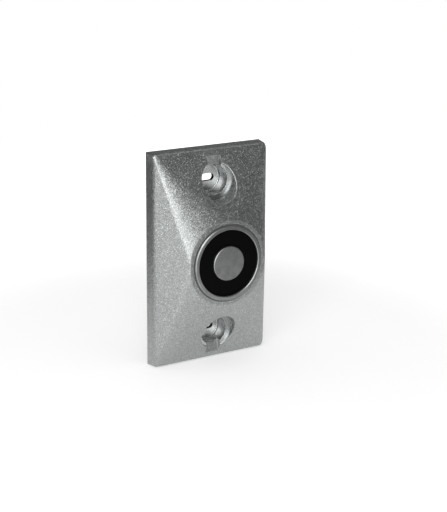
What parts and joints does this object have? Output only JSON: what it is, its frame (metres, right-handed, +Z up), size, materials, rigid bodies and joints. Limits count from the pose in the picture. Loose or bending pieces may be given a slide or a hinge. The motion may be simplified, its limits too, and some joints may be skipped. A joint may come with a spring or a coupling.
{
  "type": "electromagnetic door holder",
  "caption": "Wall-mounted electromagnet that holds a door open: cast plate that rises to a round boss with the pole face, two screw pockets, coil and circuit board behind.",
  "frame": {"origin": "centre of the plate's rear edge, in the wall plane", "axes": "+Z up, -Y out of the wall towards the door, +X to the right as seen from the door"},
  "size_m": [0.07, 0.046, 0.117],
  "materials": {
    "cast_metal": "satin bare casting with a fine metallic grain",
    "magnet_steel": "bare turned and ground steel",
    "bright_steel": "zinc plated",
    "brass": "plain machined",
    "copper_wire": "enamelled copper",
    "tape": "polyester film",
    "bobbin_nylon": "moulded",
    "resin": "cast resin",
    "black_rubber": "moulded",
    "board_laminate": "glass laminate",
    "black_moulding": "moulded",
    "blue_coating": "dipped coating",
    "green_moulding": "moulded",
    "lead_insulation": "extruded"
  },
  "bodies": {
    "root": {"faceplate": "cast_metal", "magnet_cup": "magnet_steel", "magnet_core": "magnet_steel", "coil_bobbin": "bobbin_nylon", "coil_winding": "copper_wire", "winding_tape": "tape", "face_filler": "resin", "mounting_bridge": "bright_steel", "magnet_screw": "bright_steel", "magnet_washer": "bright_steel", "lead_bush": "black_rubber", "circuit_board": "board_laminate", "bridge_rectifier": "black_moulding", "surge_varistor": "blue_coating", "terminal_block": "green_moulding", "bridge_screw_upper": "bright_steel", "bridge_screw_lower": "bright_steel", "bridge_washer_upper": "bright_steel", "bridge_washer_lower": "bright_steel", "coil_lead_1": "lead_insulation", "coil_lead_2": "lead_insulation", "board_standoff_upper": "brass", "board_standoff_lower": "brass", "board_screw_upper": "bright_steel", "board_screw_lower": "bright_steel", "terminal_clamp_1": "brass", "terminal_clamp_2": "brass", "terminal_clamp_3": "brass", "terminal_screw_1": "bright_steel", "terminal_screw_2": "bright_steel", "terminal_screw_3": "bright_steel"}
  },
  "joints": []
}
